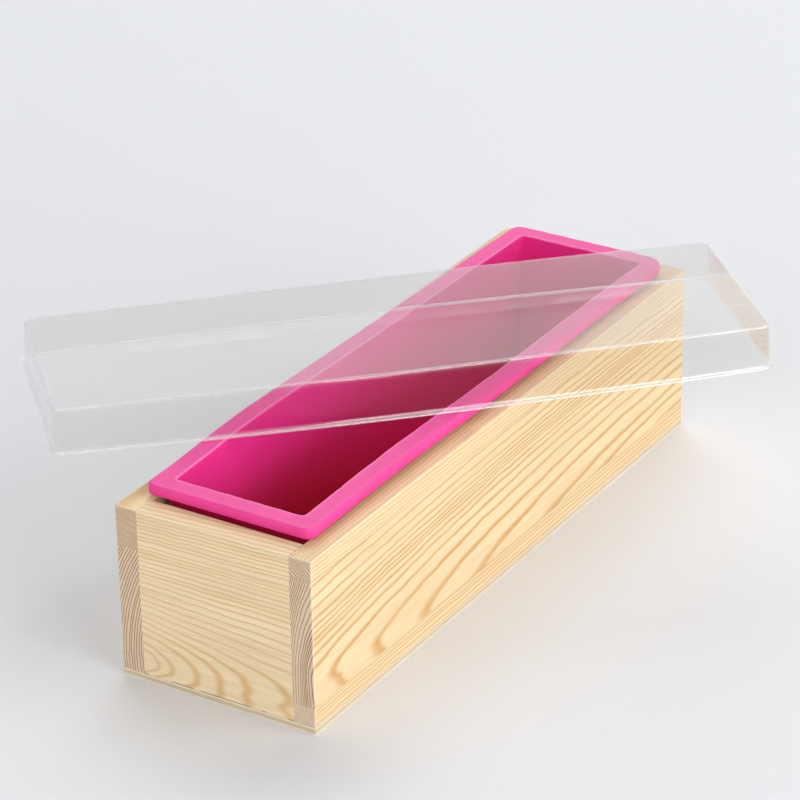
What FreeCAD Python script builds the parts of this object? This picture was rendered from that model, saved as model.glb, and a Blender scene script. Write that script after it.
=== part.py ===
"""Soap loaf mould: a pine box with a plywood base, a soft silicone liner and a clear lid.

Units are millimetres.  The origin is the middle of the box's footprint, on the surface that the
box stands on.  +X is the box's right side, +Y its far end and +Z is up.
"""
import FreeCAD, Part
import math
import os

V = FreeCAD.Vector
UP = V(0, 0, 1)

# Box: two long side boards run its whole length, with the two end boards held between them.
BOX_L, BOX_W, BOX_H = 300.0, 90.0, 76.0
SIDE_T = 10.0                   # thickness of the side boards
END_T = 10.5                    # thickness of the end boards
PLY_T = 1.1                     # each of the three veneers in the base
EASE = 0.4                      # radius that sanding leaves on outer edges

# The side boards are edge-glued: heights of the top and bottom strips, and the middle takes the rest.
RIGHT_TOP, RIGHT_BOTTOM = 8.7, 8.6
LEFT_TOP, LEFT_BOTTOM = 17.4, 7.4

# Headless pins, driven below the surface and filled over.
PIN_D = 0.8
CORNER_PIN_L, CORNER_PIN_SUNK = 18.0, 1.5
CORNER_PIN_Z = (15.0, 38.0, 62.0)
BASE_PIN_L, BASE_PIN_SUNK = 15.0, 0.5
BASE_PIN_PITCH = 60.0           # along the side boards
BASE_PIN_X = 20.0               # from the middle, on the end boards

# Liner: stands on the base, with its flange just above the box's top edge.
LINER_WALL, LINER_FLOOR = 3.0, 4.0
CAVITY_W, CAVITY_L = 60.0, 266.6
FLANGE_W, FLANGE_L, FLANGE_T = 76.8, 285.6, 4.1
FLANGE_GAP = 3.1                # between the flange and the box's top edge
LINER_SHIFT = 2.85              # the liner is pushed towards the far end
FLANGE_CORNERS = (3.0, 3.5, 9.0, 5.0)   # near left, near right, far right, far left
BODY_CORNER, CAVITY_CORNER, FLOOR_ROUND = 4.0, 1.5, 1.4
FLANGE_TOP_ROUND, FLANGE_LOW_ROUND, NECK_ROUND = 1.0, 1.5, 1.2

# Lid: a thin formed tray that lies open side down across the flange, turned from the box.
LID_TOP_L, LID_TOP_W = 293.8, 86.6
LID_FOOT_L, LID_FOOT_W = 294.8, 88.7
LID_TOP_BOW, LID_FOOT_BOW = 1.5, 4.3    # how far each long wall bulges at its middle
LID_H, LID_SHEET = 18.7, 0.5
LID_CORNER, LID_TOP_ROUND = 4.0, 1.2
LIP_W, LIP_H, LIP_ROUND = 1.2, 0.9, 0.4     # turned-out lip round the lid's foot
LID_TURN, LID_AT = 45.0, (-8.1, -3.8)   # degrees from +X, and the lid's middle

BOARD_Z = 3 * PLY_T             # underside of the boards
LINER_TOP = BOX_H + FLANGE_GAP + FLANGE_T


def block(x0, x1, y0, y1, z0, z1):
    """A plain block between two opposite corners."""
    return Part.makeBox(x1 - x0, y1 - y0, z1 - z0, V(x0, y0, z0))


def rounded(shape, radius, pick):
    """Round the edges that pick(edge) chooses."""
    return shape.makeFillet(radius, [edge for edge in shape.Edges if pick(edge)])


def runs_along(edge, axis):
    """True for a straight edge that is parallel to the axis."""
    if edge.Curve.TypeId != "Part::GeomLine":
        return False
    return abs(edge.tangentAt(edge.FirstParameter).dot(axis)) > 0.999


def at_height(edge, height):
    """True for an edge that lies level at a height."""
    box = edge.BoundBox
    return abs(box.ZMin - height) < 1e-4 and abs(box.ZMax - height) < 1e-4


def outline(width, length, height, radii, bow=0.0):
    """Closed wire of a rectangle, length along Y, with four corner radii and bulging long sides.

    The radii go near left, near right, far right, far left.  bow is how far the middle of each
    long side stands outside the straight line between its corners.
    """
    x, y = width / 2, length / 2
    near_left, near_right, far_right, far_left = radii
    slant = 1 - math.sqrt(0.5)

    def arc(corner_x, corner_y, radius, start, end):
        middle = V(corner_x - math.copysign(radius * slant, corner_x),
                   corner_y - math.copysign(radius * slant, corner_y), height)
        return Part.Arc(start, middle, end).toShape()

    def side(start, end, bulge):
        if not bow:
            return Part.makeLine(start, end)
        return Part.Arc(start, V(bulge, 0, height), end).toShape()

    ends = [V(-x + near_left, -y, height), V(x - near_right, -y, height),
            V(x, -y + near_right, height), V(x, y - far_right, height),
            V(x - far_right, y, height), V(-x + far_left, y, height),
            V(-x, y - far_left, height), V(-x, -y + near_left, height)]
    return Part.Wire([
        Part.makeLine(ends[0], ends[1]), arc(x, -y, near_right, ends[1], ends[2]),
        side(ends[2], ends[3], x + bow), arc(x, y, far_right, ends[3], ends[4]),
        Part.makeLine(ends[4], ends[5]), arc(-x, y, far_left, ends[5], ends[6]),
        side(ends[6], ends[7], -x - bow), arc(-x, -y, near_left, ends[7], ends[0])])


def prism(width, length, low, high, radii):
    """Upright prism on a rounded rectangle."""
    return Part.Face(outline(width, length, low, radii)).extrude(UP * (high - low))


def side_strips(name, side, top, bottom):
    """The three edge-glued strips of one side board; side is -1 on the left and +1 on the right."""
    outer, inner = side * BOX_W / 2, side * (BOX_W / 2 - SIDE_T)
    heights = {"bottom": (BOARD_Z, BOARD_Z + bottom), "middle": (BOARD_Z + bottom, BOX_H - top),
               "top": (BOX_H - top, BOX_H)}
    strips = {}
    for place, (low, high) in heights.items():
        strip = block(min(outer, inner), max(outer, inner), -BOX_L / 2, BOX_L / 2, low, high)
        strip = rounded(strip, EASE, lambda edge: (
            runs_along(edge, UP) and abs(edge.CenterOfMass.x - outer) < 1e-4
            or place == "top" and runs_along(edge, V(0, 1, 0)) and at_height(edge, BOX_H)))
        strips[f"{name}_side_{place}_strip"] = strip
    return strips


def end_board(end):
    """One end board; end is -1 at the near end and +1 at the far end."""
    outer, inner = end * BOX_L / 2, end * (BOX_L / 2 - END_T)
    half = BOX_W / 2 - SIDE_T
    board = block(-half, half, min(outer, inner), max(outer, inner), BOARD_Z, BOX_H)
    return rounded(board, EASE, lambda edge: runs_along(edge, V(1, 0, 0)) and at_height(edge, BOX_H))


def base_plies():
    """The three veneers of the plywood base, from the bottom up."""
    names = ("base_bottom_ply", "base_core_ply", "base_top_ply")
    return {name: block(-BOX_W / 2, BOX_W / 2, -BOX_L / 2, BOX_L / 2, i * PLY_T, (i + 1) * PLY_T)
            for i, name in enumerate(names)}


def corner_pins():
    """Pins through the side boards into the end boards, three at each corner."""
    start = BOX_W / 2 - CORNER_PIN_SUNK
    middle = BOX_L / 2 - END_T / 2
    return [Part.makeCylinder(PIN_D / 2, CORNER_PIN_L, V(side * start, end * middle, z), V(-side, 0, 0))
            for side in (-1, 1) for end in (-1, 1) for z in CORNER_PIN_Z]


def base_pins():
    """Pins up through the base into the side boards and the end boards."""
    along_sides = [(side * (BOX_W - SIDE_T) / 2, step * BASE_PIN_PITCH)
                   for side in (-1, 1) for step in (-2, -1, 0, 1, 2)]
    along_ends = [(side * BASE_PIN_X, end * (BOX_L - END_T) / 2) for side in (-1, 1) for end in (-1, 1)]
    return [Part.makeCylinder(PIN_D / 2, BASE_PIN_L, V(x, y, BASE_PIN_SUNK), UP)
            for x, y in along_sides + along_ends]


def silicone_liner():
    """The liner: a deep tray with a flat flange round its mouth."""
    body = prism(CAVITY_W + 2 * LINER_WALL, CAVITY_L + 2 * LINER_WALL, BOARD_Z, LINER_TOP,
                 (BODY_CORNER,) * 4)
    body = rounded(body, LINER_WALL / 2, lambda edge: at_height(edge, BOARD_Z))
    flange_low = LINER_TOP - FLANGE_T
    flange = prism(FLANGE_W, FLANGE_L, flange_low, LINER_TOP, FLANGE_CORNERS)
    flange = rounded(flange, FLANGE_TOP_ROUND, lambda edge: at_height(edge, LINER_TOP))
    flange = rounded(flange, FLANGE_LOW_ROUND, lambda edge: at_height(edge, flange_low))
    liner = body.fuse(flange).removeSplitter()
    neck_x, neck_y = CAVITY_W / 2 + LINER_WALL, CAVITY_L / 2 + LINER_WALL
    liner = rounded(liner, NECK_ROUND, lambda edge: at_height(edge, flange_low) and (
        abs(edge.CenterOfMass.x) < neck_x + 1e-3 and abs(edge.CenterOfMass.y) < neck_y + 1e-3))
    cavity = prism(CAVITY_W, CAVITY_L, BOARD_Z + LINER_FLOOR, LINER_TOP + 1, (CAVITY_CORNER,) * 4)
    cavity = rounded(cavity, FLOOR_ROUND, lambda edge: at_height(edge, BOARD_Z + LINER_FLOOR))
    return liner.cut(cavity).translated(V(0, LINER_SHIFT, 0))


def lid_form(inset, low, high):
    """Solid between the lid's foot and top outlines, both moved in by the inset."""
    corners = (LID_CORNER - inset,) * 4
    foot = outline(LID_FOOT_W - 2 * inset, LID_FOOT_L - 2 * inset, low, corners, LID_FOOT_BOW)
    top = outline(LID_TOP_W - 2 * inset, LID_TOP_L - 2 * inset, high, corners, LID_TOP_BOW)
    return Part.makeLoft([foot, top], True, True)


def clear_lid():
    """The lid: thin sheet, slightly tapered walls, rounded top edge and a turned-out lip."""
    outer = rounded(lid_form(0, 0, LID_H), LID_TOP_ROUND, lambda edge: at_height(edge, LID_H))
    ceiling = LID_H - LID_SHEET
    inner = rounded(lid_form(LID_SHEET, 0, ceiling), LID_TOP_ROUND - LID_SHEET,
                    lambda edge: at_height(edge, ceiling))
    lip_corners = (LID_CORNER + LIP_W,) * 4
    lip_outline = outline(LID_FOOT_W + 2 * LIP_W, LID_FOOT_L + 2 * LIP_W, 0, lip_corners, LID_FOOT_BOW)
    lip = Part.Face(lip_outline).extrude(UP * LIP_H)
    lip = rounded(lip, LIP_ROUND, lambda edge: at_height(edge, LIP_H) or at_height(edge, 0))
    lid = outer.fuse(lip).removeSplitter().cut(inner)
    # The outline's length lies along Y, so this turns it to the lid's angle from +X.
    lid.rotate(V(0, 0, 0), UP, LID_TURN - 90)
    return lid.translated(V(*LID_AT, LINER_TOP))


def build():
    """Every sub-part by name, with the pin holes cut in the wood."""
    wood = {**side_strips("left", -1, LEFT_TOP, LEFT_BOTTOM),
            **side_strips("right", 1, RIGHT_TOP, RIGHT_BOTTOM),
            "near_end_board": end_board(-1), "far_end_board": end_board(1), **base_plies()}
    pins = {"corner_pins": corner_pins(), "base_pins": base_pins()}
    all_pins = Part.makeCompound([pin for group in pins.values() for pin in group])
    nodes = {name: shape.cut(all_pins) for name, shape in wood.items()}
    nodes.update({name: Part.makeCompound(group) for name, group in pins.items()})
    nodes["silicone_liner"] = silicone_liner()
    nodes["clear_lid"] = clear_lid()
    return nodes


os.makedirs("parts", exist_ok=True)
for node, shape in build().items():
    shape.exportStep(f"parts/{node}.step")
    box = shape.BoundBox
    print(f"{node}: {len(shape.Solids)} solid(s), {shape.Volume / 1000:.2f} cm3, valid {shape.isValid()},",
          f"x {box.XMin:.1f}..{box.XMax:.1f}", f"y {box.YMin:.1f}..{box.YMax:.1f}",
          f"z {box.ZMin:.1f}..{box.ZMax:.1f}")
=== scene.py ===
"""Soap loaf mould: the looks of a pine box with a silicone liner and a clear lid.

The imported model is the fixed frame.  The boards, the plywood and the pins keep their shape and get
their wood and steel here.  The soft liner and the formed lid are built again with the sag, ripples
and rounded edges of the real ones.  Sizes in the classes are millimetres; meshes are metres.
"""
import logging
import math
from dataclasses import dataclass, field
from enum import Enum

import bpy
import numpy as np
from mathutils import Matrix, Vector


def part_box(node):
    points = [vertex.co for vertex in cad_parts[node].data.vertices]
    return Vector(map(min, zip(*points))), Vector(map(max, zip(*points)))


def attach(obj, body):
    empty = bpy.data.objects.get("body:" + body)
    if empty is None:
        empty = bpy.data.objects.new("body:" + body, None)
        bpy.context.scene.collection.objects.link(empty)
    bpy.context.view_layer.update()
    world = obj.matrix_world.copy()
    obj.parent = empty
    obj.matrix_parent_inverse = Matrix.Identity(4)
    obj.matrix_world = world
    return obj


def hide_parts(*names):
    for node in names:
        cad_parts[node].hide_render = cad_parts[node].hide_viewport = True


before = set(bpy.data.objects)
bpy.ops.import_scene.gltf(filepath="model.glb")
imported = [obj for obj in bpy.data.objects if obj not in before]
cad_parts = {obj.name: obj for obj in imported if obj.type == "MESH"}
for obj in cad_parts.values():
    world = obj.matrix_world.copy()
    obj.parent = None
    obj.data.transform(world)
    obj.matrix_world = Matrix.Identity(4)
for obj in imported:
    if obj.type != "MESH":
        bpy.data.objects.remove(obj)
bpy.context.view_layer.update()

MM = 0.001
log = logging.getLogger("loaf_mould")

Colour = tuple[float, float, float]
Point = tuple[float, float, float]


class Axis(Enum):
    """The direction in which a board's fibres run."""

    ALONG_X = 0
    ALONG_Y = 1


# ---------------------------------------------------------------- material building


class Number:
    """A number that flows through a material, with plain arithmetic on it."""

    def __init__(self, recipe: "Recipe", socket: bpy.types.NodeSocket) -> None:
        """Args: recipe: the material it belongs to.  socket: the output that carries it."""
        self.recipe, self.socket = recipe, socket

    def _with(self, operation: str, *others: "Number | float") -> "Number":
        """Combine with others through one Math node and return the result."""
        return self.recipe.math(operation, self, *others)

    def __add__(self, other: "Number | float") -> "Number":
        """Sum."""
        return self._with("ADD", other)

    def __sub__(self, other: "Number | float") -> "Number":
        """Difference."""
        return self._with("SUBTRACT", other)

    def __mul__(self, other: "Number | float") -> "Number":
        """Product."""
        return self._with("MULTIPLY", other)

    def __truediv__(self, other: "Number | float") -> "Number":
        """Quotient."""
        return self._with("DIVIDE", other)

    def root(self) -> "Number":
        """Square root."""
        return self._with("SQRT")

    def size(self) -> "Number":
        """Value without its sign."""
        return self._with("ABSOLUTE")

    def fraction(self) -> "Number":
        """The part above the whole number below it."""
        return self._with("FRACT")

    def least(self, other: "Number | float") -> "Number":
        """The smaller of two."""
        return self._with("MINIMUM", other)

    def most(self, other: "Number | float") -> "Number":
        """The larger of two."""
        return self._with("MAXIMUM", other)

    def step(self, low: float, high: float, start: float = 0.0, end: float = 1.0) -> "Number":
        """Ease from start to end while this goes from low to high.

        Args:
            low, high: where the easing begins and ends.
            start, end: the values outside that range.
        Returns:
            The eased value.
        """
        node = self.recipe.node("ShaderNodeMapRange", interpolation_type="SMOOTHSTEP")
        self.recipe.feed(node, {"Value": self, "From Min": low, "From Max": high, "To Min": start, "To Max": end})
        return Number(self.recipe, node.outputs["Result"])


class Recipe:
    """One material, filled node by node."""

    def __init__(self, name: str) -> None:
        """Args: name: the material's name."""
        self.material = bpy.data.materials.new(name)
        self.material.use_nodes = True
        self.tree = self.material.node_tree
        self.tree.nodes.clear()
        self.output = self.node("ShaderNodeOutputMaterial")

    def node(self, kind: str, **settings: object) -> bpy.types.Node:
        """Add a node.

        Args:
            kind: the node's type.
            settings: its properties.
        Returns:
            The node.
        """
        node = self.tree.nodes.new(kind)
        for key, value in settings.items():
            setattr(node, key, value)
        return node

    def feed(self, node: bpy.types.Node, values: dict) -> None:
        """Give a node's inputs their numbers, colours or incoming wires.

        Args:
            node: the node to feed.
            values: input name or place to a constant, a Number or a socket.
        """
        for key, value in values.items():
            socket = node.inputs[key]
            if isinstance(value, Number):
                self.tree.links.new(value.socket, socket)
            elif isinstance(value, bpy.types.NodeSocket):
                self.tree.links.new(value, socket)
            elif socket.type == "RGBA" and len(value) == 3:
                socket.default_value = (*value, 1.0)
            else:
                socket.default_value = value

    def math(self, operation: str, *terms: "Number | float") -> Number:
        """One Math node.

        Args:
            operation: what it does.
            terms: its inputs in order.
        Returns:
            The result.
        """
        node = self.node("ShaderNodeMath", operation=operation)
        self.feed(node, dict(enumerate(terms)))
        return Number(self, node.outputs[0])

    def place(self) -> tuple[Number, Number, Number]:
        """Returns: x, y and z of the surface point, in millimetres."""
        coordinates = self.node("ShaderNodeTexCoord")
        scaled = self.node("ShaderNodeVectorMath", operation="SCALE")
        self.feed(scaled, {"Vector": coordinates.outputs["Object"], "Scale": 1 / MM})
        split = self.node("ShaderNodeSeparateXYZ")
        self.feed(split, {"Vector": scaled.outputs["Vector"]})
        return tuple(Number(self, split.outputs[i]) for i in range(3))

    def facing(self, axis: int) -> Number:
        """Args: axis: 0, 1 or 2.  Returns: how squarely the surface faces along that axis, 0 to 1."""
        coordinates = self.node("ShaderNodeTexCoord")
        split = self.node("ShaderNodeSeparateXYZ")
        self.feed(split, {"Vector": coordinates.outputs["Normal"]})
        return Number(self, split.outputs[axis]).size()

    def point(self, x: Number | float, y: Number | float, z: Number | float) -> bpy.types.NodeSocket:
        """Args: x, y, z: the parts.  Returns: them joined as one vector."""
        join = self.node("ShaderNodeCombineXYZ")
        self.feed(join, {"X": x, "Y": y, "Z": z})
        return join.outputs["Vector"]

    def noise(self, where: bpy.types.NodeSocket, scale: float = 1.0, detail: float = 2.0,
              roughness: float = 0.5) -> Number:
        """Smooth noise.

        Args:
            where: the place it is read at.
            scale, detail, roughness: as on the noise node.
        Returns:
            Noise about zero, from about -0.5 to 0.5.
        """
        node = self.node("ShaderNodeTexNoise")
        self.feed(node, {"Vector": where, "Scale": scale, "Detail": detail, "Roughness": roughness})
        return Number(self, node.outputs["Fac"]) - 0.5

    def curve(self, value: Number, xs: np.ndarray, ys: np.ndarray) -> Number:
        """Straight-line interpolation through points.

        Args:
            value: what is looked up.
            xs, ys: the points, xs rising.
        Returns:
            The looked-up value.
        """
        node = self.node("ShaderNodeFloatCurve")
        x_low, x_span = float(xs[0]), float(xs[-1] - xs[0])
        y_low, y_span = float(min(ys)), float(max(ys) - min(ys)) or 1.0
        line = node.mapping.curves[0]
        while len(line.points) < len(xs):
            line.points.new(0.5, 0.5)
        for dot, x, y in zip(line.points, xs, ys):
            dot.location = ((x - x_low) / x_span, (y - y_low) / y_span)
            dot.handle_type = "VECTOR"
        node.mapping.update()
        self.feed(node, {"Value": (value - x_low) / x_span})
        return Number(self, node.outputs["Value"]) * y_span + y_low

    def blend(self, share: Number | float, first: Colour | bpy.types.NodeSocket,
              second: Colour | bpy.types.NodeSocket, how: str = "MIX") -> bpy.types.NodeSocket:
        """Mix two colours.

        Args:
            share: how much of the second.
            first, second: the colours.
            how: the blend type.
        Returns:
            The mixed colour.
        """
        node = self.node("ShaderNodeMix", data_type="RGBA", blend_type=how)
        self.feed(node, {0: share, 6: first, 7: second})
        return node.outputs[2]

    def bump(self, height: Number, distance: float, strength: float = 1.0) -> bpy.types.NodeSocket:
        """Args: height: 0 to 1.  distance: mm.  strength: share.  Returns: the bent normal."""
        node = self.node("ShaderNodeBump")
        self.feed(node, {"Height": height, "Distance": distance * MM, "Strength": strength})
        return node.outputs["Normal"]

    def finish(self, shader: bpy.types.NodeSocket) -> bpy.types.Material:
        """Args: shader: what the surface shows.  Returns: the finished material."""
        self.tree.links.new(shader, self.output.inputs["Surface"])
        return self.material


# ---------------------------------------------------------------- growth rings


@dataclass(frozen=True)
class Rings:
    """Where the dark lines of the growth rings lie along a measure across them.

    marks are the lines' places; above and below are how far a line fades out on its two sides.  Lines
    inside the measure broad_until are up to broad times as wide.
    """

    marks: tuple[float, ...]
    above: float = 0.7
    below: float = 0.3
    uneven: float = 0.25
    broad: float = 1.0
    broad_until: float = 1.0

    @staticmethod
    def grown(start: float, end: float, pitch: float, spread: float, seed: int) -> tuple[float, ...]:
        """Marks of rings that vary in width.

        Args:
            start, end: the stretch to fill.
            pitch: the mean width of a ring.
            spread: how much widths vary, as a share.
            seed: of the random numbers.
        Returns:
            The marks, rising.
        """
        count = int((end - start) / pitch * 1.3) + 4
        widths = pitch * np.exp(np.random.default_rng(seed).normal(0.0, spread, count))
        marks = start + np.cumsum(widths)
        return tuple(float(m) for m in marks[marks < end])

    def dark(self, recipe: Recipe, across: Number) -> Number:
        """Darkness of the ring line at a place.

        The place between two marks gives the distance past the lower mark and the distance short of
        the upper mark, and each side of a line eases out over its own distance.

        Args:
            recipe: the material.
            across: the measure across the rings.
        Returns:
            0 on pale wood to 1 on the line.
        """
        marks = np.array(self.marks)
        count = recipe.curve(across, marks, np.arange(len(marks), dtype=float))
        gaps = np.diff(marks)
        middles = (marks[1:] + marks[:-1]) / 2
        gap = recipe.curve(across, middles, gaps)
        past = count.fraction() * gap
        short = gap - past
        wide = across.step(self.broad_until * 0.5, self.broad_until, self.broad, 1.0)
        return (past / wide).step(0.0, self.above, 1, 0).most((short / wide).step(0.0, self.below, 1, 0))


class Figure:
    """The shape of the growth rings in one board."""

    def across(self, recipe: Recipe, x: Number, y: Number, z: Number) -> Number:
        """Args: recipe: the material.  x, y, z: the place in mm.  Returns: the measure across the rings."""
        raise NotImplementedError


@dataclass(frozen=True)
class ArchFigure(Figure):
    """Rings that run out of a board's face as nested arches, lying about an axis along the board.

    s is the way along the board from its far end of the arches, d the depth below the face and
    rise the height above the axis, which is at height + climb * s.  Below the axis the arches fold
    back: rise is the larger of rise and (pivot - rise) * fold, eased over bend.  Depth acts like height:
    up = root * d + sqrt((root * d)^2 + rise^2).  The measure across the rings is
    sqrt(up^2 + (pull - ease * up) * (slope * s + swell * s^2)).
    """

    axis: Axis
    face: float             # where the face with the arches is, on the other level axis
    inward: float           # +1 or -1: the way into the board from that face
    end: float              # the end that s is measured from
    towards: float          # +1 or -1: the way in which s grows
    height: float
    climb: float
    pull: float
    ease: float
    slope: float
    swell: float
    root: float
    pivot: float = 0.0
    fold: float = 0.35
    bend: float = 5.0

    def across(self, recipe: Recipe, x: Number, y: Number, z: Number) -> Number:
        """See the class."""
        along, side = (x, y) if self.axis is Axis.ALONG_X else (y, x)
        depth = ((side - self.face) * self.inward).most(0.0) * self.root
        reach = ((along - self.end) * self.towards).most(0.0)
        rise = z - (reach * self.climb + self.height)
        rise = recipe.math("SMOOTH_MAX", rise, (rise * -1.0 + self.pivot) * self.fold, self.bend)
        up = depth + (depth * depth + rise * rise).root()
        spread = (up * -self.ease + self.pull) * (reach * self.slope + reach * reach * self.swell)
        return (up * up + spread).most(0.01).root()


@dataclass(frozen=True)
class RoundFigure(Figure):
    """Rings round a pith line: the distance from it, less a taper along the board."""

    pith: tuple[float, float]
    taper: float = 0.0

    def across(self, recipe: Recipe, x: Number, y: Number, z: Number) -> Number:
        """See the class."""
        side, up = x - self.pith[0], z - self.pith[1]
        return (side * side + up * up).root() - y * self.taper


@dataclass(frozen=True)
class FlatFigure(Figure):
    """Rings as nearly flat sheets: x * side + z * up + y * drift."""

    side: float
    up: float
    drift: float = 0.0

    def across(self, recipe: Recipe, x: Number, y: Number, z: Number) -> Number:
        """See the class."""
        return x * self.side + z * self.up + y * self.drift


# ---------------------------------------------------------------- finishes


@dataclass(frozen=True)
class PineFinish:
    """Planed, sanded and unvarnished pine."""

    name: str
    axis: Axis
    figure: Figure
    rings: Rings
    pale: Colour = (0.84, 0.65, 0.39)
    line: Colour = (0.66, 0.36, 0.12)
    end_pale: Colour = (0.77, 0.60, 0.43)
    end_line: Colour = (0.30, 0.145, 0.065)
    strength: float = 1.0
    end_strength: float = 1.0
    edges: tuple[float, ...] = ()       # heights of the strip's glued edges
    # slits: stretches along x where the joint under the board stands open; the shade inside it is painted dark
    slits: tuple[tuple[float, float], ...] = ()     # where the joint under the board stands open
    warp: float = 1.0
    wobble: float = 1.6             # mm by which the rings wander up and down along the board
    outer: tuple[float, float, float] = (45.0, 150.0, 76.0)
    underside: float = 3.3

    def material(self) -> bpy.types.Material:
        """Returns: the material."""
        recipe = Recipe(self.name)
        x, y, z = recipe.place()
        along, side = (x, y) if self.axis is Axis.ALONG_X else (y, x)
        slow = recipe.noise(recipe.point(along / 34, side / 9, z / 9), detail=1.5)
        quick = recipe.noise(recipe.point(along / 7, side / 3, z / 3), detail=2.0)
        sway = slow * (2.0 * self.rings.uneven * self.warp) + quick * (0.45 * self.rings.uneven * self.warp)
        wander = recipe.noise(recipe.point(along / 13, side / 10, z / 10), detail=2.5, roughness=0.6)
        dark = self.rings.dark(recipe, self.figure.across(recipe, x, y, z + wander * self.wobble) + sway)
        fibre = recipe.noise(recipe.point(along / 40, side / 0.45, z / 0.45), detail=3.0, roughness=0.65)
        streak = recipe.noise(recipe.point(along / 60, side / 2.2, z / 2.2), detail=2.0)
        cloud = recipe.noise(recipe.point(along / 45, side / 14, z / 14), detail=2.0)
        density = (dark * self.strength * (cloud * 1.2 + 0.92 + fibre * 1.5)).most(0.0).least(1.0)
        face = recipe.blend(density, self.pale, self.line)
        tint = (fibre * 1.5 + streak * 0.6 + cloud * 0.4 + 0.5).most(0.0).least(1.0)
        face = recipe.blend(1.0, face, recipe.blend(tint, (0.86, 0.80, 0.72), (1.12, 1.16, 1.22)), "MULTIPLY")

        speckle = recipe.noise(recipe.point(x / 0.35, y / 0.35, z / 0.35), detail=3.0, roughness=0.7)
        blotch = recipe.noise(recipe.point(x / 4, y / 4, z / 4), detail=2.0)
        end_density = (dark * self.end_strength * (speckle * 0.8 + 0.95)).most(0.0).least(1.0)
        cut = recipe.blend(end_density, self.end_pale, self.end_line)
        grit = (speckle * 0.9 + blotch * 0.35 + 0.5).most(0.0).least(1.0)
        cut = recipe.blend(1.0, cut, recipe.blend(grit, (0.72, 0.66, 0.60), (1.22, 1.26, 1.30)), "MULTIPLY")
        is_end = recipe.facing(self.axis.value).step(0.55, 0.85)
        colour = recipe.blend(is_end, face, cut)
        colour = self._edges(recipe, colour, x, y, z, fibre)

        shader = recipe.node("ShaderNodeBsdfPrincipled")
        rough = (dark * -0.10 + fibre * 0.25 + is_end * 0.18 + 0.58).most(0.2).least(1.0)
        relief = (fibre * 0.55 + dark * 0.25 + speckle * is_end * 0.7 + 0.5)
        recipe.feed(shader, {"Base Color": colour, "Roughness": rough, "Specular IOR Level": 0.42,
                             "Normal": recipe.bump(relief, 0.14, 0.6)})
        return recipe.finish(shader.outputs["BSDF"])

    def _edges(self, recipe: Recipe, colour: bpy.types.NodeSocket, x: Number, y: Number, z: Number,
               fibre: Number) -> bpy.types.NodeSocket:
        """Rubbed outer edges, fine dark seams at glued edges and painted shade in the open joint under the board.

        Args:
            recipe: the material.
            colour: the wood's colour.
            x, y, z: the place.
            fibre: the fibre noise, which breaks the seam up.
        Returns:
            The colour with edges.
        """
        gaps = [(x.size() - self.outer[0]).size(), (y.size() - self.outer[1]).size(),
                (z - self.outer[2]).size()]
        low = gaps[0].least(gaps[1]).least(gaps[2])
        high = gaps[0].most(gaps[1]).most(gaps[2])
        second = gaps[0] + gaps[1] + gaps[2] - low - high
        rub = recipe.noise(recipe.point(x / 2, y / 2, z / 2), detail=3.0)
        worn = (second + rub * 0.9).step(0.15, 0.75, 0.42, 0.0)
        colour = recipe.blend(worn, colour, (0.93, 0.80, 0.60))
        for edge in self.edges:
            seam = ((z - edge).size() + fibre * 0.12).step(0.05, 0.22, 0.55, 0.0)
            colour = recipe.blend(seam, colour, (0.50, 0.33, 0.19))
        # painted shade: a dark line along the board's bottom where the joint under it stands open
        for start, end in self.slits:
            run = x.step(start - 0.6, start + 0.6) * x.step(end - 0.6, end + 0.6, 1.0, 0.0)
            slit_shade = (z - self.underside + fibre * 0.3).step(0.15, 0.42, 0.85, 0.0) * run
            colour = recipe.blend(slit_shade, colour, (0.13, 0.075, 0.04))
        return colour


@dataclass(frozen=True)
class VeneerFinish:
    """One veneer of the plywood base."""

    name: str
    axis: Axis
    pale: Colour
    dark: Colour
    seam: float                 # height of the glue line that shows at this veneer's edge
    seam_dark: Colour = (0.30, 0.22, 0.14)

    def material(self) -> bpy.types.Material:
        """Returns: the material."""
        recipe = Recipe(self.name)
        x, y, z = recipe.place()
        along, side = (x, y) if self.axis is Axis.ALONG_X else (y, x)
        figure = recipe.noise(recipe.point(along / 70, side / 7, z / 3), detail=3.0)
        fibre = recipe.noise(recipe.point(along / 25, side / 0.5, z / 0.3), detail=3.0, roughness=0.7)
        pores = recipe.noise(recipe.point(along / 3, side / 0.3, z / 0.25), detail=2.0)
        share = (figure * 1.6 + fibre * 0.9 + 0.5).most(0.0).least(1.0)
        colour = recipe.blend(share, self.pale, self.dark)
        colour = recipe.blend(pores.step(0.16, 0.30, 0.0, 0.35), colour, self.seam_dark)
        wander = recipe.noise(recipe.point(x / 12, y / 12, z / 30), detail=3.0)
        glue = ((z - self.seam).size() + wander * 0.25).step(0.05, 0.26, 0.75, 0.0)
        colour = recipe.blend(glue, colour, self.seam_dark)
        shader = recipe.node("ShaderNodeBsdfPrincipled")
        rough = (fibre * 0.2 + 0.66).most(0.2).least(1.0)
        recipe.feed(shader, {"Base Color": colour, "Roughness": rough, "Specular IOR Level": 0.35,
                             "Normal": recipe.bump(fibre + 0.5, 0.12, 0.6)})
        return recipe.finish(shader.outputs["BSDF"])


@dataclass(frozen=True)
class PinFinish:
    """Drawn steel wire of the headless pins."""

    name: str = "drawn_pin_steel"
    bright: Colour = (0.62, 0.61, 0.59)
    dull: Colour = (0.40, 0.39, 0.37)

    def material(self) -> bpy.types.Material:
        """Returns: the material."""
        recipe = Recipe(self.name)
        x, y, z = recipe.place()
        mottle = recipe.noise(recipe.point(x, y, z), detail=4.0)
        shader = recipe.node("ShaderNodeBsdfPrincipled")
        recipe.feed(shader, {"Base Color": recipe.blend(mottle + 0.5, self.dull, self.bright), "Metallic": 1.0,
                             "Roughness": (mottle * 0.3 + 0.38).most(0.1),
                             "Normal": recipe.bump(mottle + 0.5, 0.02, 0.4)})
        return recipe.finish(shader.outputs["BSDF"])


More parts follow.
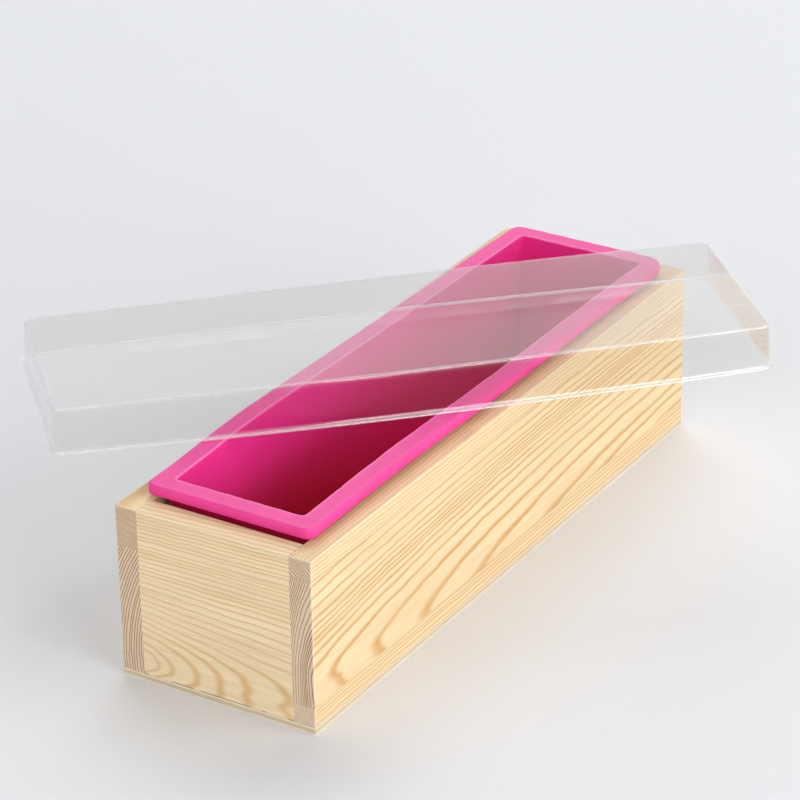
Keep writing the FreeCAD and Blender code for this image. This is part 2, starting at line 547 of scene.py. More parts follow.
@dataclass(frozen=True)
class SiliconeFinish:
    """Bright pink silicone rubber with a soft satin skin."""

    name: str = "pink_silicone_rubber"
    body: Colour = (0.86, 0.020, 0.275)
    light: Colour = (0.91, 0.035, 0.335)
    # edge is a painted highlight colour for the rim's thin rounded edges
    edge: Colour = (1.0, 0.30, 0.62)
    # shade is a painted shade colour: the deep cavity walls and the outer wall under the flange are darkened
    # towards it
    shade: Colour = (0.60, 0.002, 0.050)      # deep down, where the walls only light each other

    def material(self) -> bpy.types.Material:
        """Returns: the material."""
        recipe = Recipe(self.name)
        x, y, z = recipe.place()
        mottle = recipe.noise(recipe.point(x / 18, y / 18, z / 18), detail=3.0)
        grain = recipe.noise(recipe.point(x / 0.5, y / 0.5, z / 0.5), detail=3.0, roughness=0.6)
        dust = recipe.noise(recipe.point(x / 1.3, y / 1.3, z / 1.3), detail=4.0, roughness=0.7)
        colour = recipe.blend((mottle * 1.4 + 0.5).most(0.0).least(1.0), self.body, self.light)
        # painted highlight: the rim's thin rounded edges are lightened towards edge, broken up by the dust noise
        rim = recipe.node("ShaderNodeAttribute", attribute_name="rim_highlight")
        thin = (Number(recipe, rim.outputs["Fac"]) * (dust * 0.8 + 0.6)).most(0.0).least(1.0)
        colour = recipe.blend(thin, colour, self.edge)
        colour = recipe.blend(dust.step(0.14, 0.30, 0.0, 0.10), colour, (1.0, 0.55, 0.75))
        # painted shade: the deep attribute darkens the colour low in the cavity and just under the flange, where
        # shade falls
        depth = recipe.node("ShaderNodeAttribute", attribute_name="deep")
        painted_shade = (Number(recipe, depth.outputs["Fac"]) + mottle * 0.05).step(0.10, 0.78, 0.0, 1.0)
        colour = recipe.blend(painted_shade, colour, self.shade)
        shader = recipe.node("ShaderNodeBsdfPrincipled")
        rough = (grain * 0.25 + mottle * 0.12 + 0.46).most(0.2).least(1.0)
        recipe.feed(shader, {"Base Color": colour, "Roughness": rough, "Specular IOR Level": 0.5,
                             "Subsurface Weight": 0.12, "Subsurface Radius": (1.0, 0.16, 0.42),
                             "Subsurface Scale": 0.004, "Sheen Weight": 0.08, "Sheen Roughness": 0.5,
                             "Normal": recipe.bump(grain * 0.7 + dust * 0.3 + 0.5, 0.05, 0.4)})
        return recipe.finish(shader.outputs["BSDF"])


@dataclass(frozen=True)
class ClearFinish:
    """Clear formed sheet: see-through, with a gloss that grows towards a glancing view."""

    name: str = "clear_formed_sheet"
    tint: Colour = (0.95, 0.948, 0.945)
    head_on: float = 0.006
    haze: float = 0.002
    top_painted_reflection: float = 0.10
    bend_painted_highlight: float = 0.27
    bend_gloss: float = 0.10

    def material(self) -> bpy.types.Material:
        """The share of gloss is head_on + (1 - head_on) * glance^5, raised on the bends.  The milky white is a
        painted reflection on the level top and a painted highlight on the bends, over a faint real haze and scuffs.

        Returns:
            The material.
        """
        recipe = Recipe(self.name)
        x, y, z = recipe.place()
        weight = recipe.node("ShaderNodeLayerWeight")
        recipe.feed(weight, {"Blend": 0.5})
        glance = Number(recipe, weight.outputs["Facing"])
        ripple = recipe.noise(recipe.point(x / 22, y / 22, z / 22), detail=2.0)
        scuff = recipe.noise(recipe.point(x / 3, y / 3, z / 3), detail=5.0, roughness=0.75)
        # the bend attribute weighs the painted white highlight lines along the lid's bends
        bent = recipe.node("ShaderNodeAttribute", attribute_name="bend")
        bend = Number(recipe, bent.outputs["Fac"])
        normal = recipe.bump(ripple + 0.5, 0.2, 0.25)
        gloss_share = (recipe.math("POWER", glance, 5.0) * (1 - self.head_on) + bend * self.bend_gloss
                       + self.head_on).least(1.0)

        clear = recipe.node("ShaderNodeBsdfTransparent")
        recipe.feed(clear, {"Color": self.tint})
        haze_and_painted_white = recipe.node("ShaderNodeBsdfPrincipled")
        recipe.feed(haze_and_painted_white, {"Base Color": (0.95, 0.955, 0.96), "Roughness": 0.35})
        hazy_and_painted = recipe.node("ShaderNodeMixShader")
        # the level top faces up; its milky white is a painted reflection of the bright surroundings
        flat = recipe.facing(2).step(0.6, 0.97)
        # the haze sums a faint real haze and scuffs with painted light: a highlight along the bends and a
        # reflection on the top
        haze = (bend * self.bend_painted_highlight * (scuff * 0.8 + 0.9) + flat * (scuff * 0.03 + self.top_painted_reflection)
                + scuff.step(0.05, 0.4, 0.0, 0.008) + self.haze)
        recipe.feed(hazy_and_painted, {0: haze.most(0.0).least(1.0), 1: clear.outputs[0], 2: haze_and_painted_white.outputs[0]})
        gloss = recipe.node("ShaderNodeBsdfGlossy")
        recipe.feed(gloss, {"Color": (1.0, 1.0, 1.0), "Roughness": 0.03, "Normal": normal})
        whole = recipe.node("ShaderNodeMixShader")
        recipe.feed(whole, {0: gloss_share, 1: hazy_and_painted.outputs[0], 2: gloss.outputs[0]})
        return recipe.finish(whole.outputs[0])


@dataclass(frozen=True)
class FloorFinish:
    """Matt pale paper."""

    name: str = "pale_paper"
    colour: Colour = (0.80, 0.805, 0.82)

    def material(self) -> bpy.types.Material:
        """Returns: the material."""
        recipe = Recipe(self.name)
        x, y, z = recipe.place()
        tooth = recipe.noise(recipe.point(x / 2, y / 2, z / 2), detail=3.0)
        shader = recipe.node("ShaderNodeBsdfPrincipled")
        recipe.feed(shader, {"Base Color": self.colour, "Roughness": 0.75, "Specular IOR Level": 0.25,
                             "Normal": recipe.bump(tooth + 0.5, 0.05, 0.2)})
        return recipe.finish(shader.outputs["BSDF"])


# ---------------------------------------------------------------- surfaces


@dataclass(frozen=True)
class Outline:
    """A rectangle, length along Y, with four corner radii and long sides that may bulge.

    The corners go near left, near right, far right, far left.
    """

    half_width: float
    half_length: float
    radii: tuple[float, float, float, float]
    bow: float = 0.0

    def points(self, per_side: int, per_end: int, per_corner: int) -> np.ndarray:
        """Points round the outline, from the near left corner along the near end.

        A corner is a quarter circle; a side is a straight run, and a long side moves out by
        bow * (1 - (y / half length)^2).

        Args:
            per_side, per_end, per_corner: points on a long side, an end and a corner.
        Returns:
            (n, 2) array of x and y.
        """
        w, l = self.half_width, self.half_length
        centres = [(sx * (w - r), sy * (l - r)) for (sx, sy), r in zip(
            ((-1, -1), (1, -1), (1, 1), (-1, 1)), self.radii)]
        quarter = np.linspace(0, np.pi / 2, per_corner)
        corners = []
        for i, ((cx, cy), r) in enumerate(zip(centres, self.radii)):
            turn = quarter + np.pi + i * np.pi / 2
            corners.append(np.stack([cx + r * np.cos(turn), cy + r * np.sin(turn)], axis=1))
        runs = []
        for i in range(4):
            count = per_end if i % 2 == 0 else per_side
            share = np.linspace(0, 1, count + 2)[1:-1, None]
            runs.append(corners[i][-1] * (1 - share) + corners[(i + 1) % 4][0] * share)
        ring = np.concatenate([part for i in range(4) for part in (corners[i], runs[i])])
        bulge = self.bow * np.clip(1 - (ring[:, 1] / l) ** 2, 0, 1)
        ring[:, 0] += np.sign(ring[:, 0]) * bulge * np.clip(np.abs(ring[:, 0]) / w, 0, 1) ** 8
        return ring


def ring_faces(rings: int, count: int) -> np.ndarray:
    """Four-sided faces between neighbouring rings of points.

    Rings that widen on a level face give faces that point up.

    Args:
        rings: how many rings.
        count: points in each, going anticlockwise seen from above.
    Returns:
        (faces, 4) array of point numbers.
    """
    here = np.arange(count)
    there = (here + 1) % count
    base = (np.arange(rings - 1) * count)[:, None]
    quads = np.stack([base + here, base + count + here, base + count + there, base + there], axis=-1)
    return quads.reshape(-1, 4)


def surface_mesh(name: str, rows: np.ndarray, weights: dict[str, np.ndarray]) -> bpy.types.Object:
    """A closed surface from rings of points, closed at both ends by a single point.

    Neighbouring rings are joined by four-sided faces, and the first and last ring by triangles to
    their middle.

    Args:
        name: of the piece.
        rows: (rings, points, 3) array in mm, going so that faces point outwards.
        weights: attribute name to (rings, points) array.
    Returns:
        The object, in metres.
    """
    rings, count = rows.shape[:2]
    first, last = rows[0].mean(axis=0), rows[-1].mean(axis=0)
    points = np.concatenate([rows.reshape(-1, 3), [first, last]]) * MM
    here = np.arange(count)
    there = (here + 1) % count
    tail = (rings - 1) * count
    head_cap = np.stack([here, there, np.full(count, rings * count)], axis=-1)
    tail_cap = np.stack([tail + there, tail + here, np.full(count, rings * count + 1)], axis=-1)
    quads = ring_faces(rings, count)
    mesh = bpy.data.meshes.new(name)
    mesh.from_pydata(points.tolist(), [], quads.tolist() + head_cap.tolist() + tail_cap.tolist())
    for key, values in weights.items():
        layer = mesh.attributes.new(key, "FLOAT", "POINT")
        layer.data.foreach_set("value", np.concatenate([values.reshape(-1), [values[0].mean(),
                                                                             values[-1].mean()]]))
    mesh.polygons.foreach_set("use_smooth", np.ones(len(mesh.polygons), dtype=bool))
    mesh.validate()
    mesh.update()
    piece = bpy.data.objects.new(name, mesh)
    bpy.context.scene.collection.objects.link(piece)
    return piece


def soft_noise(values: np.ndarray, seed: int, waves: int, longest: float) -> np.ndarray:
    """Smooth repeatable unevenness along a length.

    The sum of sine waves with lengths falling from the longest, and heights in step with them.

    Args:
        values: places along the length.
        seed: of the random phases.
        waves: how many waves.
        longest: the longest wave.
    Returns:
        Values from about -1 to 1.
    """
    rng = np.random.default_rng(seed)
    lengths = longest / (1 + np.arange(waves)) ** 1.3
    phases = rng.uniform(0, 2 * np.pi, waves)
    heights = lengths / lengths.sum()
    return (heights * np.sin(2 * np.pi * values[..., None] / lengths + phases)).sum(axis=-1)


# ---------------------------------------------------------------- sub-assemblies


@dataclass
class PineBox:
    """The glued and pinned pine box on its plywood base."""

    pins: tuple[str, ...] = ("corner_pins", "base_pins")
    right_marks: tuple[float, ...] = (
        18.0, 25.0, 30.75, 35.2, 42.1, 47.4, 52.4, 56.4, 59.7, 61.9, 63.9, 65.2, 66.6, 68.3, 70.3, 73.3, 76.8,
        80.3, 83.2, 85.6, 87.7, 89.8, 91.7, 93.7, 95.6, 97.8, 99.9, 102.5, 106.0)
    near_marks: tuple[float, ...] = (
        3.0, 8.9, 11.6, 15.5, 18.1, 20.3, 22.7, 25.4, 28.0, 30.4, 32.9, 35.8, 38.3, 40.6, 42.3, 44.0, 45.8,
        47.9, 49.8, 51.4, 52.8, 54.5, 57.1, 58.5, 60.3, 61.9, 63.4, 64.9, 66.5, 68.0, 69.7, 71.6, 73.2, 75.1,
        77.0, 79.2, 82.0)

    def boards(self) -> dict[str, PineFinish]:
        """Returns: the finish of each pine node."""
        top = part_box("right_side_top_strip")
        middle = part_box("right_side_middle_strip")
        left_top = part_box("left_side_top_strip")
        left_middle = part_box("left_side_middle_strip")
        right_seams = (top[0][2] / MM, middle[0][2] / MM)
        left_seams = (left_top[0][2] / MM, left_middle[0][2] / MM)
        arch = ArchFigure(Axis.ALONG_Y, face=45.0, inward=-1.0, end=150.0, towards=-1.0, height=-12.2,
                          climb=0.1233, pull=2.0125, ease=-0.0212, slope=3.799, swell=0.00596, root=2.1)
        front = ArchFigure(Axis.ALONG_X, face=-150.0, inward=1.0, end=-35.0, towards=1.0, height=6.6,
                           climb=-0.0232, pull=2.0427, ease=0.0555, slope=5.267, swell=-0.0163, root=0.6,
                           pivot=3.5, fold=1.5, bend=6.0)
        back = ArchFigure(Axis.ALONG_X, face=150.0, inward=-1.0, end=35.0, towards=-1.0, height=44.0,
                          climb=0.06, pull=1.7, ease=0.03, slope=4.2, swell=0.004, root=0.8)
        left = RoundFigure(pith=(41.0, 10.0), taper=-0.032)
        return {
            "right_side_middle_strip": PineFinish(
                "pine_right_middle", Axis.ALONG_Y, arch,
                Rings(self.right_marks, 0.9, 0.4, 0.7, broad=2.1, broad_until=66.0),
                edges=right_seams),
            "right_side_top_strip": PineFinish(
                "pine_right_top", Axis.ALONG_Y, FlatFigure(0.707, 0.707, 0.006),
                Rings(Rings.grown(60.0, 95.0, 1.25, 0.18, 3), 0.5, 0.2, 0.14), strength=0.62,
                edges=right_seams),
            "right_side_bottom_strip": PineFinish(
                "pine_right_bottom", Axis.ALONG_Y, FlatFigure(0.907, -0.42, 0.003),
                Rings(Rings.grown(20.0, 48.0, 0.85, 0.2, 5), 0.4, 0.15, 0.10), strength=0.8,
                end_strength=0.3,
                edges=right_seams),
            "left_side_top_strip": PineFinish(
                "pine_left_top", Axis.ALONG_Y, FlatFigure(0.25, 0.968, 0.004),
                Rings(Rings.grown(40.0, 72.0, 3.4, 0.25, 7), 1.2, 0.4, 0.35), strength=0.7,
                end_strength=0.18, end_pale=(0.62, 0.455, 0.295), edges=left_seams),
            "left_side_middle_strip": PineFinish(
                "pine_left_middle", Axis.ALONG_Y, left,
                Rings(Rings.grown(66.0, 114.0, 1.15, 0.2, 11), 0.5, 0.2, 0.25), edges=left_seams),
            "left_side_bottom_strip": PineFinish(
                "pine_left_bottom", Axis.ALONG_Y, RoundFigure(pith=(40.2, 12.0), taper=-0.02),
                Rings(Rings.grown(66.0, 100.0, 1.2, 0.2, 13), 0.5, 0.2, 0.2), strength=0.6,
                edges=left_seams),
            "near_end_board": PineFinish(
                "pine_near_end", Axis.ALONG_X, front,
                Rings(self.near_marks, 0.55, 0.5, 0.5, broad=1.8, broad_until=24.0),
                pale=(0.885, 0.71, 0.455), line=(0.72, 0.45, 0.175), strength=0.8,
                slits=((-35.8, -33.0), (-22.0, -11.7), (-8.3, 15.0), (20.0, 22.5), (32.5, 35.8))),
            "far_end_board": PineFinish(
                "pine_far_end", Axis.ALONG_X, back, Rings(Rings.grown(0.0, 90.0, 2.6, 0.25, 17), 0.85, 0.5, 0.5),
                pale=(0.885, 0.71, 0.455), line=(0.72, 0.45, 0.175), strength=0.8),
        }

    def veneers(self) -> dict[str, VeneerFinish]:
        """Returns: the finish of each plywood node."""
        top, core, bottom = (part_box(f"base_{place}_ply") for place in ("top", "core", "bottom"))
        face, inner = (0.86, 0.76, 0.60), (0.78, 0.65, 0.48)
        return {
            "base_top_ply": VeneerFinish("veneer_top", Axis.ALONG_Y, face, (0.76, 0.63, 0.46),
                                         top[1][2] / MM),
            "base_core_ply": VeneerFinish("veneer_core", Axis.ALONG_X, inner, (0.60, 0.46, 0.31),
                                          core[1][2] / MM),
            "base_bottom_ply": VeneerFinish("veneer_bottom", Axis.ALONG_Y, face, (0.74, 0.61, 0.44),
                                            bottom[1][2] / MM),
        }

    def dress(self) -> None:
        """Give every wooden and steel node its material."""
        for node, finish in {**self.boards(), **self.veneers()}.items():
            dress_node(node, finish.material())
        steel = PinFinish().material()
        for node in self.pins:
            dress_node(node, steel)


def dress_node(node: str, material: bpy.types.Material) -> None:
    """Args: node: the CAD node.  material: what its material slots get."""
    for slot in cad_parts[node].material_slots:
        slot.material = material
    log.info("dressed %s with %s", node, material.name)


@dataclass
class SiliconeLiner:
    """The soft liner: a deep tray whose flange sags and bulges a little."""

    wall: float = 3.0
    floor: float = 4.0
    cavity: tuple[float, float] = (60.0, 266.6)
    flange: float = 5.0
    corner_radii: tuple[float, float, float, float] = (3.0, 3.5, 9.0, 5.0)
    rim_height: tuple[tuple[float, float], ...] = (
        (-146, -1.0), (-120, -0.75), (-70, -0.05), (-30, -0.3), (0, -0.6), (50, -1.0), (107, -1.4), (150, -1.8))
    left_bulge: tuple[tuple[float, float], ...] = (
        (-150, 0.4), (-125, 0.1), (-75, -1.15), (-30, -0.6), (40, 0.3), (107, 1.1), (150, 1.4))
    right_bulge: tuple[tuple[float, float], ...] = (
        (-150, -0.3), (-111, -0.7), (-60, -0.5), (-8, 0.4), (60, 0.2), (109, 0.1), (150, 1.0))
    soft_from: float = 45.0     # height from which the walls give way with the rim
    # far_light eases the painted shade off towards the cavity's far half
    far_light: float = 0.6      # how much lighter the cavity's far half is than its near half

    def profile(self) -> list[tuple[float, float, float, float]]:
        """Section from the middle of the cavity's floor over the rim to the middle of the underside.

        Returns:
            Rows of: how far outside the cavity's wall, height, share of the way from the cavity's corner
            radius to the flange's, and how much of a thin edge it is; that last weighs the rim's painted highlight.
        """
        low, high = (c[2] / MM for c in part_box("silicone_liner"))
        bed = low + self.floor
        under = high - self.flange
        out = (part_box("silicone_liner")[1][0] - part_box("silicone_liner")[0][0]) / MM / 2 - self.cavity[0] / 2
        turn = np.radians(np.linspace(0, 90, 6))
        rows: list[tuple[float, float, float, float]] = []
        rows += [(offset, bed, 0.0, 0.0) for offset in (-29.0, -20.0, -10.0, -3.0)]
        rows += [(-1.4 + 1.4 * math.sin(a), bed + 1.4 * (1 - math.cos(a)), 0.0, 0.0) for a in turn]
        rows += [(0.0, z, 0.0, 0.0) for z in np.linspace(bed + 6, high - 2.4, 16)]
        rows += [(0.0, high - 1.3, 0.0, 0.0), (0.0, high - 0.7, 0.0, 0.25)]
        rows += [(0.06, high - 0.3, 0.05, 1.0), (0.2, high - 0.04, 0.07, 1.0), (0.42, high, 0.1, 0.9),
                 (0.8, high - 0.10, 0.15, 0.3), (1.3, high - 0.12, 0.2, 0.0)]
        rows += [(offset, high - 0.12, 0.2 + 0.8 * offset / out, 0.0) for offset in (2.5, 4.2, 6.0)]
        rows += [(out - 1.0 + 1.0 * math.sin(a), high - 1.0 + 1.0 * math.cos(a), 1.0, 0.15) for a in turn]
        rows += [(out - 0.7 + 0.7 * math.cos(a), under + 0.7 - 0.7 * math.sin(a), 1.0, 0.0) for a in turn]
        rows += [(5.3, under, 0.8, 0.0)]
        rows += [(self.wall + 1.2 - 1.2 * math.sin(a), under - 1.2 * (1 - math.cos(a)), 0.5, 0.0) for a in turn]
        rows += [(self.wall, z, 0.3, 0.0) for z in np.linspace(under - 6, low + 6, 10)]
        rows += [(self.wall - 1.5 + 1.5 * math.cos(a), low + 1.5 - 1.5 * math.sin(a), 0.3, 0.0) for a in turn]
        rows += [(offset, low, 0.3, 0.0) for offset in (-4.0, -14.0, -24.0)]
        return rows

    def build(self) -> bpy.types.Object:
        """Carry the profile round the outline, then let the rim sag and bulge.

        Returns:
            The piece.
        """
        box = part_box("silicone_liner")
        shift = np.array([(box[0][0] + box[1][0]) / 2, (box[0][1] + box[1][1]) / 2]) / MM
        bed, top = box[0][2] / MM + self.floor, box[1][2] / MM
        rows, thin, deep = [], [], []
        for offset, height, share, edge in self.profile():
            radii = tuple(max(0.3, (1 - share) * max(1.5 + offset * 0.8, 0.6) + share * r)
                          for r in self.corner_radii)
            scale = Outline(max(self.cavity[0] / 2 + offset, 1.0), max(self.cavity[1] / 2 + offset, 1.0), radii)
            ring = scale.points(220, 56, 9) + shift
            rows.append(np.concatenate([ring, np.full((len(ring), 1), height)], axis=1))
            thin.append(np.full(len(ring), edge))
            # deep weighs the painted shade: more the lower in the cavity and the nearer its near end
            shut_in = 1 - self.far_light * np.clip((ring[:, 1] + 50.0) / 120.0, 0, 1)
            if offset <= 0.0 and height > bed - 0.5:
                deep.append((top - height) / (top - bed) * shut_in)
            else:
                # painted shade on the outer wall just under the flange
                below_flange = offset >= self.wall and top - self.flange - 7.0 < height < top - self.flange + 0.1
                deep.append(np.full(len(ring), 0.85 if below_flange else 0.0))
        grid = np.array(rows)
        return surface_mesh("liner", self.settle(grid), {"rim_highlight": np.array(thin), "deep": np.array(deep)})

    def settle(self, grid: np.ndarray) -> np.ndarray:
        """Let the rim sag and the walls give way.

        Heights fall by the rim's sag and the sides move by their bulge, both times the square of how far
        the point is up from soft_from to the rim.  The thin edge inside the rim is a little ragged.

        Args:
            grid: (rings, points, 3) array in mm.
        Returns:
            The settled grid.
        """
        low, high = (c[2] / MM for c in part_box("silicone_liner"))
        x, y, z = (grid[..., i].copy() for i in range(3))
        give = np.clip((z - self.soft_from) / (high - self.soft_from), 0, 1) ** 2
        places, drops = np.array(self.rim_height).T
        sag = smooth_between(y, places, drops)
        left = smooth_between(y, *np.array(self.left_bulge).T)
        right = smooth_between(y, *np.array(self.right_bulge).T)
        side = np.clip(np.abs(x) / 26.0, 0, 1) ** 3
        grid[..., 0] = x + give * side * np.where(x < 0, left, right)
        grid[..., 2] = z + give * sag
        near_rim = np.clip((z - (high - 1.5)) / 1.5, 0, 1)
        ragged = soft_noise(y + 2.7 * x, 21, 9, 31.0) * 0.16 + soft_noise(y - 1.9 * x, 22, 5, 5.0) * 0.05
        grid[..., 2] += near_rim * (ragged - 0.10)
        grid[..., 0] += near_rim * soft_noise(y, 23, 7, 23.0) * 0.12
        grid[..., 2] = np.minimum(grid[..., 2], high - 0.02)
        return grid

    def make(self) -> bpy.types.Object:
        """Returns:
            The piece.
        """
        piece = self.build()
        piece.data.materials.append(SiliconeFinish().material())
        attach(piece, "liner")
        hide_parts("silicone_liner")
        log.info("built %s: %d faces", piece.name, len(piece.data.polygons))
        return piece


def smooth_between(values: np.ndarray, places: np.ndarray, heights: np.ndarray) -> np.ndarray:
    """Smooth curve through points: cubic pieces whose slopes are the mean of their neighbours' slopes.

    Args:
        values: where to read it.
        places, heights: the points, places rising.
    Returns:
        The curve at values.
    """
    slopes = np.gradient(heights, places)
    values = np.clip(values, places[0], places[-1])
    i = np.clip(np.searchsorted(places, values, side="right") - 1, 0, len(places) - 2)
    span = places[i + 1] - places[i]
    t = (values - places[i]) / span
    return ((2 * t ** 3 - 3 * t ** 2 + 1) * heights[i] + (t ** 3 - 2 * t ** 2 + t) * span * slopes[i]
            + (3 * t ** 2 - 2 * t ** 3) * heights[i + 1] + (t ** 3 - t ** 2) * span * slopes[i + 1])


@dataclass
class ClearLid:
    """The thin formed lid, lying turned across the liner's flange."""

    foot: tuple[float, float] = (88.7, 294.8)
    top: tuple[float, float] = (86.6, 293.8)
    foot_bow: float = 4.3
    top_bow: float = 1.5
    sheet: float = 0.5
    corner: float = 4.0
    top_round: float = 0.75
    lip: tuple[float, float] = (1.2, 0.9)
    turned: float = 45.0
    sag: float = 0.25
    ripple: float = 0.04

    def section(self, height: float) -> list[tuple[float, float, float, int]]:
        """Half section from the middle of the top, out and down to the lip, and back up inside.

        Args:
            height: of the lid.
        Returns:
            Rows of: how far outside the wall, height, how sharply it bends, and 1 on the inner face.
        """
        r, t = self.top_round, self.sheet
        lip, lip_high = self.lip
        turn = np.radians(np.linspace(0, 90, 7))
        rows: list[tuple[float, float, float, int]] = []
        rows += [(-offset, height, 0.0, 0) for offset in (42.0, 34.0, 26.0, 18.0, 11.0, 6.0, 3.0, 1.9)]
        rows += [(-r + r * math.sin(a), height - r + r * math.cos(a), math.sin(2 * a) * 0.8 + 0.2, 0) for a in turn]
        rows += [(0.0, z, 0.0, 0) for z in np.linspace(height - 2.4, lip_high + 1.2, 9)]
        rows += [(0.0, lip_high + 0.3, 0.4, 0), (0.15, lip_high, 0.8, 0), (lip - 0.4, lip_high, 0.5, 0)]
        rows += [(lip - 0.4 + 0.4 * math.cos(a), 0.45 + 0.45 * math.sin(a), 1.0, 0) for a in turn[::-1][1:]]
        rows += [(lip - 0.4 + 0.4 * math.cos(a), 0.45 - 0.45 * math.sin(a), 0.9, 0) for a in turn[1:]]
        rows += [(-t + 0.25, 0.0, 0.5, 0), (-t, 0.2, 0.4, 1)]
        rows += [(-t, z, 0.0, 1) for z in np.linspace(lip_high + 1.2, height - 2.4, 9)]
        inner = r - t
        rows += [(-t - inner + inner * math.cos(a), height - t - inner + inner * math.sin(a),
                  math.sin(2 * a) * 0.8 + 0.2, 1) for a in turn]
        rows += [(-offset, height - t, 0.0, 1) for offset in (1.9, 3.0, 6.0, 11.0, 18.0, 26.0, 34.0, 42.0)]
        return rows

    def build(self) -> bpy.types.Object:
        """Carry the section round the outline, ripple it, turn it and set it down.

        Returns:
            The piece.
        """
        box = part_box("clear_lid")
        low, high = box[0][2] / MM, box[1][2] / MM
        height = high - low
        middle = np.array([(box[0][0] + box[1][0]) / 2, (box[0][1] + box[1][1]) / 2]) / MM
        rows, bends = [], []
        for offset, z, bend, inside in self.section(height):
            share = min(max(z / height, 0.0), 1.0)
            half_w = (self.foot[0] * (1 - share) + self.top[0] * share) / 2
            half_l = (self.foot[1] * (1 - share) + self.top[1] * share) / 2
            bow = self.foot_bow * (1 - share) + self.top_bow * share
            radius = max(0.6, self.corner + max(offset, -3.2))
            keep = min(1.0, max(0.0, (half_w + offset) / half_w))
            outline = Outline(max(half_w + offset, 0.7), max(half_l + offset, 0.7),
                              (min(radius, max(half_w + offset, 0.7) * 0.9),) * 4, bow * keep)
            ring = outline.points(150, 60, 8)
            rows.append(np.concatenate([ring, np.full((len(ring), 1), z)], axis=1))
            # bends weighs the painted highlight along the lid's bends
            bends.append(np.full(len(ring), bend))
        grid = self.loosen(np.array(rows), height)
        angle = math.radians(self.turned - 90)
        cos, sin = math.cos(angle), math.sin(angle)
        x, y = grid[..., 0].copy(), grid[..., 1].copy()
        grid[..., 0], grid[..., 1] = x * cos - y * sin + middle[0], x * sin + y * cos + middle[1]
        grid[..., 2] += low
        return surface_mesh("lid", grid, {"bend": np.array(bends)})

    def loosen(self, grid: np.ndarray, height: float) -> np.ndarray:
        """Sag in the top sheet and slow ripples in the walls.

        The sag is a cosine hump across and along, and the ripples are smooth noise along the lid, nought
        at the bends.

        Args:
            grid: (rings, points, 3) array in mm.
            height: of the lid.
        Returns:
            The loosened grid.
        """
        x, y, z = (grid[..., i].copy() for i in range(3))
        across = np.clip(1 - (x / 43.0) ** 2, 0, 1)
        length = np.clip(1 - (y / 146.0) ** 2, 0, 1)
        on_top = np.clip((z - (height - 1.6)) / 1.0, 0, 1)
        waves = soft_noise(y + 0.4 * x, 31, 5, 150.0) * 0.6 + soft_noise(x * 2 - 0.6 * y, 32, 4, 90.0) * 0.4
        grid[..., 2] -= on_top * across * length * (self.sag + self.ripple * (1 + waves))
        mid_wall = np.clip(np.sin(np.pi * np.clip(z / height, 0, 1)), 0, 1)
        wall = np.clip((np.abs(x) - 41.5) / 1.5, 0, 1) * (1 - on_top)
        grid[..., 0] += np.sign(x) * wall * mid_wall * self.ripple * soft_noise(y, 33, 6, 120.0) * 1.6
        return grid

    def make(self) -> bpy.types.Object:
        """Returns:
            The piece.
        """
        piece = self.build()
        piece.data.materials.append(ClearFinish().material())
        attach(piece, "lid")
        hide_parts("clear_lid")
        log.info("built %s: %d faces", piece.name, len(piece.data.polygons))
        return piece


# ---------------------------------------------------------------- studio


@dataclass(frozen=True)
class SoftLight:
    """One large soft light: place and aim in metres, size in metres, power in watts."""

    name: str
    place: Point
    aim: Point
    size: tuple[float, float]
    power: float
    colour: Colour = (1.0, 1.0, 1.0)

    def make(self) -> bpy.types.Object:
        """Returns: the light."""
        lamp = bpy.data.lights.new(self.name, "AREA")
        lamp.shape = "RECTANGLE"
        lamp.size, lamp.size_y = self.size
        lamp.energy, lamp.color = self.power, self.colour
        holder = bpy.data.objects.new(self.name, lamp)
        holder.location = self.place
        holder.rotation_euler = (Vector(self.aim) - Vector(self.place)).to_track_quat("-Z", "Y").to_euler()
        bpy.context.scene.collection.objects.link(holder)
        return holder


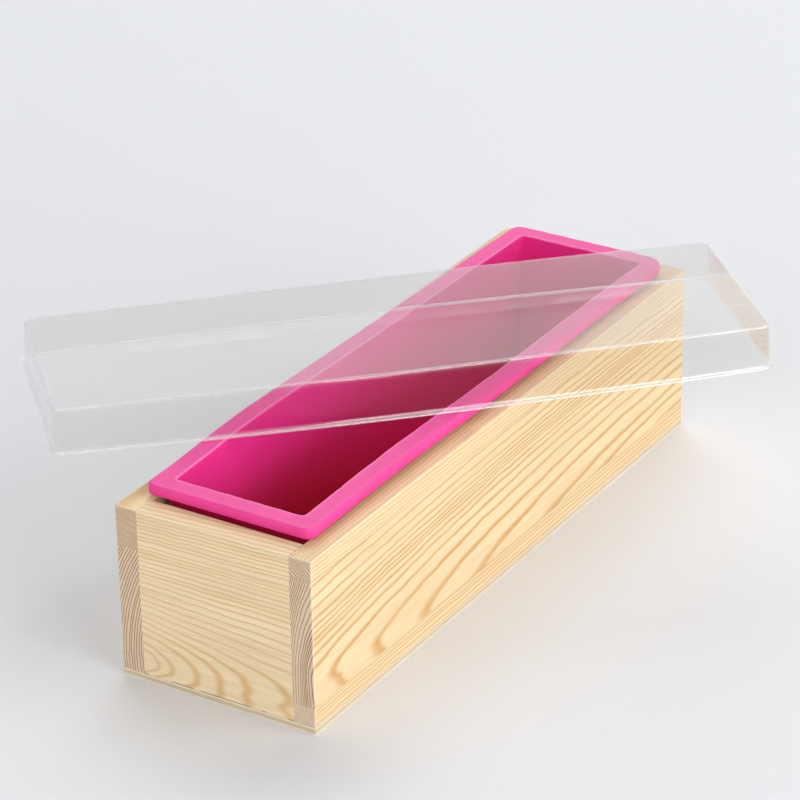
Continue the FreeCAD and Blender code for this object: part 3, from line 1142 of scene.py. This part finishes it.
@dataclass
class Studio:
    """Pale sweep, soft lights and camera."""

    floor_radius: float = 3.2
    wall_height: float = 3.4
    sky: Colour = (0.95, 0.975, 1.0)
    sky_power: float = 0.08
    lens: float = 160.0
    eye: Point = (0.688341, -1.109686, 0.729816)
    right: Point = (0.85068, 0.52548, -0.01479)
    up: Point = (-0.22675, 0.39217, 0.89151)
    forward: Point = (-0.47427, 0.75503, -0.45277)
    lights: tuple[SoftLight, ...] = field(default_factory=lambda: (
        SoftLight("key_right", (1.9, 0.35, 1.6), (0.0, 0.0, 0.05), (1.6, 1.6), 22.5),
        SoftLight("glow_high", (-0.95, 1.6, 2.3), (-0.35, 0.9, 0.0), (2.4, 1.6), 42.0, (0.96, 0.98, 1.0)),
        SoftLight("fill_front", (0.2, -2.2, 1.5), (0.0, 0.0, 0.05), (1.8, 1.2), 20.5),
        SoftLight("fill_right", (2.3, -0.9, 0.7), (0.0, 0.0, 0.05), (1.4, 1.2), 29.0),
        SoftLight("far_wall", (-0.9, 1.4, 1.0), (-2.0, 3.2, 0.6), (1.6, 0.8), 35.0),
    ))

    def make_floor(self) -> None:
        """A disc that curves up into a wall all round: height is wall_height * t^2 (3 - 2 t) at the rim."""
        radii = np.concatenate([np.linspace(0.05, self.floor_radius, 12),
                                self.floor_radius + np.linspace(0.05, 1.0, 14)])
        turns = np.linspace(0, 2 * np.pi, 96, endpoint=False)
        t = np.clip((radii - self.floor_radius) / 1.0, 0, 1)
        height = self.wall_height * t ** 2 * (3 - 2 * t)
        rows = np.stack([radii[:, None] * np.cos(turns), radii[:, None] * np.sin(turns),
                         np.broadcast_to(height[:, None], (len(radii), len(turns)))], axis=-1)
        rings, count = rows.shape[:2]
        here = np.arange(count)
        cap = np.stack([here, (here + 1) % count, np.full(count, rings * count)], axis=-1)
        mesh = bpy.data.meshes.new("floor")
        points = np.concatenate([rows.reshape(-1, 3), [[0.0, 0.0, 0.0]]])
        mesh.from_pydata(points.tolist(), [], ring_faces(rings, count).tolist() + cap.tolist())
        mesh.polygons.foreach_set("use_smooth", np.ones(len(mesh.polygons), dtype=bool))
        mesh.update()
        floor = bpy.data.objects.new("floor", mesh)
        bpy.context.scene.collection.objects.link(floor)
        mesh.materials.append(FloorFinish().material())

    def make_world(self) -> None:
        """An even pale sky for the soft part of the light."""
        world = bpy.data.worlds.new("studio")
        world.use_nodes = True
        background = world.node_tree.nodes["Background"]
        background.inputs["Color"].default_value = (*self.sky, 1.0)
        background.inputs["Strength"].default_value = self.sky_power
        bpy.context.scene.world = world
        bpy.context.scene.view_settings.view_transform = "Standard"

    def make_camera(self) -> None:
        """The camera, from its place and its three directions."""
        lens = bpy.data.cameras.new("camera")
        lens.lens, lens.sensor_width = self.lens, 36.0
        lens.clip_start, lens.clip_end = 0.05, 30.0
        camera = bpy.data.objects.new("camera", lens)
        axes = Matrix((self.right, self.up, tuple(-c for c in self.forward))).transposed().to_4x4()
        camera.matrix_world = Matrix.Translation(self.eye) @ axes
        bpy.context.scene.collection.objects.link(camera)
        bpy.context.scene.camera = camera

    def make(self) -> None:
        """Everything that isn't the object."""
        self.make_floor()
        self.make_world()
        self.make_camera()
        for light in self.lights:
            light.make()
        log.info("studio ready: %d lights", len(self.lights))


def main() -> None:
    """Dress the box, build the liner and the lid, and set up the studio."""
    logging.basicConfig(level=logging.INFO, format="%(message)s")
    PineBox().dress()
    SiliconeLiner().make()
    ClearLid().make()
    Studio().make()


if __name__ == "__main__":
    main()
